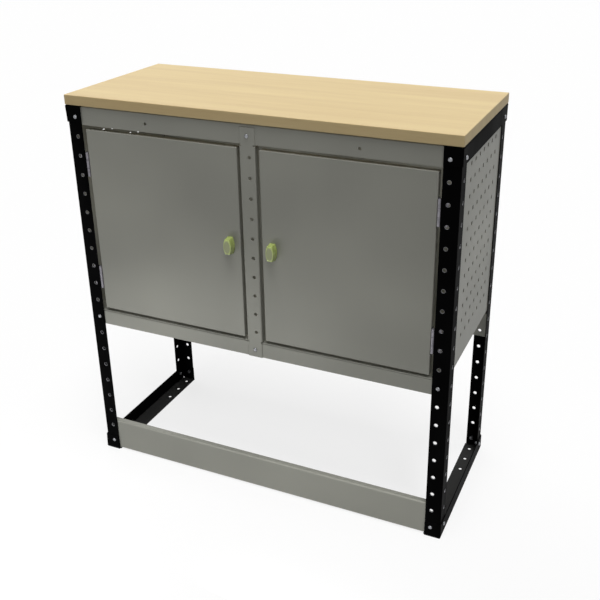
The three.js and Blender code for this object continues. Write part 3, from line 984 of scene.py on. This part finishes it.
def hinge(level):
    """Makes the leaves, the pin and the rivets of a hinge, for both doors."""
    low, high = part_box(f"hinge_post_leaf_{level}_right")
    third = (high.z - low.z - 2 * knuckle_gap) / 3
    reach = knuckle_diameter / 2 + knuckle_gap
    plate_low = Vector((hinge_axis.x + reach, door_low.y, low.z))
    plate_high = Vector((high.x, door_low.y + leaf_sheet, high.z))
    neck = (hinge_axis.x, door_low.y), (plate_low.x + leaf_sheet, plate_high.y)
    ends = ((low.z, low.z + third), (high.z - third, high.z))
    post_leaf = leaf(f"hinge_post_leaf_{level}_right_plate", plate_low, plate_high, *neck, ends)
    settle_pair(post_leaf, "frame", "hinge_steel", f"hinge_post_leaf_{level}_right")

    leaf_low, leaf_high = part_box(f"hinge_door_leaf_{level}_right")
    side_low = Vector((leaf_low.x, hinge_axis.y + reach, leaf_low.z))
    side_high = Vector((leaf_low.x + leaf_sheet, leaf_high.y, leaf_high.z))
    neck = (leaf_low.x, hinge_axis.y), (side_high.x, side_low.y + leaf_sheet)
    between = (ends[0][1] + knuckle_gap, ends[1][0] - knuckle_gap)
    door_leaf = leaf(f"hinge_door_leaf_{level}_right_plate", side_low, side_high, *neck, [between])
    settle_pair(door_leaf, "right_door", "hinge_steel", f"hinge_door_leaf_{level}_right")

    pin_low, pin_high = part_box(f"hinge_pin_{level}_right")
    pin_span = (pin_low.z, pin_high.z)
    pin = rod(f"hinge_pin_{level}_right_rod", Z, pin_diameter, *pin_span, hinge_axis, pin_sides)
    ease_edges(pin, knuckle_round, steps=3)
    settle_pair(pin, "frame", "zinc", f"hinge_pin_{level}_right")

    middle = (low.z + high.z) / 2
    for row, z in (("low", middle - rivet_spread / 2), ("high", middle + rivet_spread / 2)):
        post_place = ((plate_low.x + plate_high.x) / 2, plate_high.y, z)
        door_place = (door_high.x - panel_sheet, (side_low.y + side_high.y) / 2, z)
        name = f"rivet_{level}_{row}_right"
        post_rivet = dome(f"post_{name}", Y, 1, rivet_diameter, rivet_height, post_place)
        door_rivet = dome(f"door_{name}", X, -1, rivet_diameter, rivet_height, door_place)
        settle_pair(post_rivet, "frame", "zinc")
        settle_pair(door_rivet, "right_door", "zinc")
    print(level, "hinges at z", round(middle, 4))


hinge("top")
hinge("bottom")

# %% [markdown]
# The latches
#
# A knob is a thumb turn: a grip that is wide in the middle, blunt at the ends and a little smaller
# in front. Its outline could be drawn as a curve and filled, but a block keeps its rows of faces in
# order. It starts as wide as the ends. Its long edges are subdivided, a resize about the spindle
# spreads each row of points along a parabola, and a last resize draws the front face in. Behind the
# door, a hexagon nut clamps the latch and a cam with round ends turns behind the mullion.

# %% Knobs
grip_width = 0.0235
grip_end_width = 0.0135
grip_front = 0.88
grip_rows = 13
grip_round = 0.0022
grip_steps = 4
spindle_diameter = 0.008
spindle_sides = 24

grip_back = door_low.y - clearance
grip_half = Vector((grip_end_width / 2, 0, (knob_high.z - knob_low.z) / 2))
knob = block(
    "latch_knob_right_casting",
    (latch_axis.x - grip_half.x, knob_low.y, knob_low.z),
    (latch_axis.x + grip_half.x, grip_back, knob_high.z),
)


def in_front(a, b):
    """True for an edge of the front face."""
    return max(a.y, b.y) < knob_low.y + tiny


def on_front_rim(a, b):
    """True for an edge round the front face, and false for a row across it."""
    across = abs(a.z - b.z) < tiny
    at_end = abs(abs(a.z - latch_axis.z) - grip_half.z * grip_front) < tiny
    return in_front(a, b) and (at_end or not across)


open_mesh(knob, "EDGE")
pick_edges(knob, lambda a, b: abs(a.z - b.z) > grip_half.z)
bpy.ops.mesh.subdivide(number_cuts=grip_rows)
bpy.ops.mesh.select_mode(type="VERT")
for step in range(1, grip_rows + 1):
    share = 2 * step / (grip_rows + 1) - 1
    width = grip_end_width + (grip_width - grip_end_width) * (1 - share * share)
    height = latch_axis.z + share * grip_half.z
    pick_edges(knob, lambda a, b: abs(a.z - height) < tiny and abs(b.z - height) < tiny)
    bpy.ops.transform.resize(value=(width / grip_end_width, 1, 1), center_override=latch_axis)
bpy.ops.mesh.select_mode(type="EDGE")
pick_edges(knob, in_front)
bpy.ops.transform.resize(value=(grip_front, 1, grip_front), center_override=latch_axis)
close_mesh()
bevel_edges(knob, on_front_rim, grip_round, grip_steps)
ease_edges(knob)
spindle_span = (grip_back - overcut, knob_high.y)
unite(knob, [rod("spindle", Y, spindle_diameter, *spindle_span, latch_axis, spindle_sides)])
settle_pair(knob, "right_latch", "knob_brass", "latch_knob_right")
print("knob", size_of(knob))

# %% Latch nuts and cams
nut_round = 0.0006
cam_width = 0.014
cam_steps = 12

nut_low, nut_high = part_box("latch_nut_right")
nut_span = (nut_low.y, nut_high.y)
nut = rod("latch_nut_right_hex", Y, nut_high.z - nut_low.z, *nut_span, latch_axis, hexagon)
ease_edges(nut, nut_round, steps=2)
cam_low, cam_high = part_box("latch_cam_right")
cam = block("latch_cam_right_plate", cam_low, cam_high)
bevel_edges(cam, lambda a, b: abs(a.y - b.y) > tiny, cam_width / 2 - tiny, cam_steps)
ease_edges(cam, steps=2)
fittings = ((nut, "right_door", "latch_nut_right"), (cam, "right_latch", "latch_cam_right"))
for piece, body, node in fittings:
    low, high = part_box(node)
    cut(piece, drills_through(low.y, high.y, [latch_hole]))
    settle_pair(piece, body, "zinc", node)
print("latch nuts and cams bored")

# %% [markdown]
# Bolts
#
# The frame is held by domed bolts with hexagon nuts. One bolt could be stretched to every length,
# but its head and nut would stretch too. So one is modelled for each length of shank, along Y with
# its head at the origin: a flattened half sphere, a shank and a chamfered nut, joined by a union.
# Copies are then turned about Z and moved to where the CAD bolt is.

# %% Bolts
bolt_head = 0.010
bolt_head_height = 0.003
bolt_shank = 0.006
shank_sides = 20
bolt_nut = 0.011
bolt_nut_height = 0.005
bolt_models = {}


def bolt_model(length):
    """A bolt of that overall length, its head pointing along -Y and its tip at y = length."""
    key = round(length, 4)
    if key not in bolt_models:
        head = dome("bolt", Y, -1, bolt_head, bolt_head_height, (0, bolt_head_height, 0))
        nut_span = (length - bolt_nut_height, length - overcut)
        nut = rod("nut", Y, bolt_nut, *nut_span, (0, 0, 0), hexagon)
        ease_edges(nut, nut_round, steps=2)
        shank_span = (bolt_head_height - overcut, length)
        shank = rod("shank", Y, bolt_shank, *shank_span, (0, 0, 0), shank_sides)
        ease_edges(shank, knuckle_round, steps=2)
        bolt_models[key] = unite(head, [shank, nut])
    return bolt_models[key]


def heading(node):
    """Which side of the bench the head of a bolt is on, from the words of its name."""
    words = node.split("_")
    if words[1] == "side":
        return words[-1]
    return "front" if words[1] == "mullion" else words[2]


bolt_turns = {"front": 0.0, "rear": pi, "right": pi / 2, "left": -pi / 2}
bolt_nodes = sorted(name for name in frame["nodes"] if name.startswith("bolt_"))
for node in bolt_nodes:
    side = heading(node)
    axis = X if side in ("right", "left") else Y
    low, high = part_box(node)
    length = high[axis] - low[axis]
    only(bolt_model(length))
    bpy.ops.object.duplicate()
    bolt = newest(f"{node}_domed")
    centred = Matrix.Translation((0, -length / 2, 0))
    turned = Matrix.Rotation(bolt_turns[side], 4, "Z")
    bolt.data.transform(Matrix.Translation((low + high) / 2) @ turned @ centred)
    settle(bolt, "frame", "zinc", node)
for model in bolt_models.values():
    bpy.data.objects.remove(model)
print(len(bolt_nodes), "bolts in", len(bolt_models), "lengths")

# %% [markdown]
# Screws under the worktop
#
# The flat flanges of the top rails are drilled so that wood screws can hold the board from below. A
# whole screw could be modelled, but only its washer and round head can be seen, so a disc with a
# dome on it is enough.

# %% Worktop screws
washer_diameter = 0.016
washer_height = 0.0012
washer_sides = 32
screw_head = 0.009
screw_head_height = 0.0026
flange_foot = frame_head - angle_sheet
screw_inset = foot_hole_inset + hole_pitch
washer_span = (flange_foot - washer_height, flange_foot)
for end, y in (("front", rail_low.y + screw_inset), ("rear", rail_high.y - screw_inset)):
    place = Vector((hole_column, y, flange_foot - washer_height + edge_round))
    screw = rod(f"worktop_screw_{end}_right", Z, washer_diameter, *washer_span, place, washer_sides)
    ease_edges(screw, steps=2)
    unite(screw, [dome("head", Z, -1, screw_head, screw_head_height, place)])
    settle_pair(screw, "frame", "zinc")
    print("worktop screws at the", end, "at y", round(y, 4))

# %% [markdown]
# Floor and background
#
# The bench stands on a plain pale floor in front of white. A white world by itself would light every
# side alike, so the world is white for what the camera and mirrors see, and dimmer for the light it
# gives. The top of the bench is then clearly brighter than its front. The floor does the same, and
# for the camera it also glows, which keeps the shadow of the bench light.

# %% Floor and world
floor_size = 60.0
floor_drop = 0.0003
floor_glow = 0.78
white = (1.0, 1.0, 1.0, 1)
dim = (0.12, 0.12, 0.12, 1)


def seen_directly(web):
    """1 for rays from the camera, a mirror or glass, and 0 for rays that only gather light."""
    kinds = ("Camera", "Glossy", "Transmission")
    camera_ray, mirror_ray, glass_ray = [
        web.add("ShaderNodeLightPath", output=f"Is {kind} Ray") for kind in kinds
    ]
    return web.add("ShaderNodeClamp", inputs={0: camera_ray + mirror_ray + glass_ray})


bpy.ops.object.select_all(action="DESELECT")
bpy.ops.mesh.primitive_plane_add(size=floor_size, location=(0, 0, -floor_drop))
ground = newest("ground")
floor_finish = Finish("pale_floor", Roughness=1.0, Specular_IOR_Level=0.0)
in_view = seen_directly(floor_finish)
floor_finish.drive("Base Color", floor_finish.tint(in_view, dim, white))
matt = Wire(floor_finish, floor_finish.shader.outputs["BSDF"])
glow = floor_finish.add("ShaderNodeEmission", inputs={"Color": white})
surface = floor_finish.add("ShaderNodeMixShader", inputs={0: in_view * floor_glow, 1: matt, 2: glow})
floor_finish.feed(floor_finish.tree.nodes["Material Output"].inputs["Surface"], surface)
ground.data.materials.append(floor_finish.material)

world = bpy.data.worlds.new("studio")
bpy.context.scene.world = world
world.use_nodes = True
sky = NodeWeb(world.node_tree)
backdrop = world.node_tree.nodes["Background"]
sky.feed(backdrop.inputs["Color"], sky.tint(seen_directly(sky), dim, white))
print("floor", floor_size, "m wide")

# %% [markdown]
# Light
#
# A wide sun from above lights the top, a narrower one from the front and the right reaches into the
# gaps, and a faint one lights the back. Large lamps could do this too, but a sun lights near and far
# pieces alike. Two low strips lighten the foot of the front. In the picture, light also reaches the
# inside of the cabinet, so that the gaps round the doors and the free holes are grey and not black.
# One faint lamp behind each door does the same here.

# %% Suns
def sun(name, level, softness, bearing, height):
    """A sun at a bearing, from the front towards the right, and at a height, all in degrees."""
    turn, rise = radians(bearing), radians(height)
    flat = Vector((sin(turn), -cos(turn), 0)) * cos(rise)
    towards = flat + Vector((0, 0, sin(rise)))
    bpy.ops.object.light_add(type="SUN", rotation=towards.to_track_quat("Z", "Y").to_euler())
    lamp = newest(name)
    lamp.data.energy = level
    lamp.data.angle = radians(softness)
    print(name, "of strength", level)


sun("top_sun", level=2.05, softness=30, bearing=35, height=79)
sun("front_sun", level=0.43, softness=14, bearing=38, height=46)
sun("back_sun", level=0.5, softness=40, bearing=232, height=42)

# %% Lamps
strip_height = 0.08
inside_level, inside_size, inside_gap = 0.5, 0.1, 0.07


def strip(name, level, width, place, aim):
    """A low strip lamp that points from its place to its aim."""
    turn = (Vector(place) - Vector(aim)).to_track_quat("Z", "Y").to_euler()
    bpy.ops.object.light_add(type="AREA", location=place, rotation=turn)
    lamp = newest(name)
    lamp.data.shape = "RECTANGLE"
    lamp.data.size = width
    lamp.data.size_y = strip_height
    lamp.data.energy = level
    print(name, "of", level, "W")


strip("low_lamp", level=2.3, width=1.0, place=(-0.58, -0.85, 0.05), aim=(-0.45, -0.2, 0.15))
strip("foot_lamp", level=0.30, width=0.5, place=(0.30, -0.60, 0.03), aim=(0.34, -0.2, 0.03))
door_middle = (door_low + door_high) / 2
for side in (-1, 1):
    behind_door = (side * door_middle.x, door_high.y + inside_gap, door_middle.z)
    bpy.ops.object.light_add(type="POINT", location=behind_door)
    lamp = newest("inside_lamp")
    lamp.data.energy = inside_level
    lamp.data.shadow_soft_size = inside_size
print("two lamps of", inside_level, "W behind the doors")

# %% [markdown]
# The camera
#
# The camera stands to the right of the bench and above it. It could be set by eye, but the edges of
# the bench then miss those of the picture. So its place, aim, slight roll and lens come from
# matching the corners of the bench with the picture, and the shift moves the frame as the picture
# was cropped.

# %% Camera
camera_place = Vector((0.9094, -1.8720, 1.5039))
camera_aim = Vector((-0.3704, 0.8385, -0.3997))
camera_roll = radians(-0.525)
camera_lens = 51.92
camera_shift = (-0.0282, -0.0700)
bpy.ops.object.camera_add(location=camera_place)
camera = bpy.context.object
turn = camera_aim.to_track_quat("-Z", "Y").to_matrix() @ Matrix.Rotation(camera_roll, 3, "Z")
camera.rotation_euler = turn.to_euler()
camera.data.lens = camera_lens
camera.data.shift_x, camera.data.shift_y = camera_shift
bpy.context.scene.camera = camera
bpy.context.scene.view_settings.view_transform = "Standard"
print("camera at", list(camera_place))
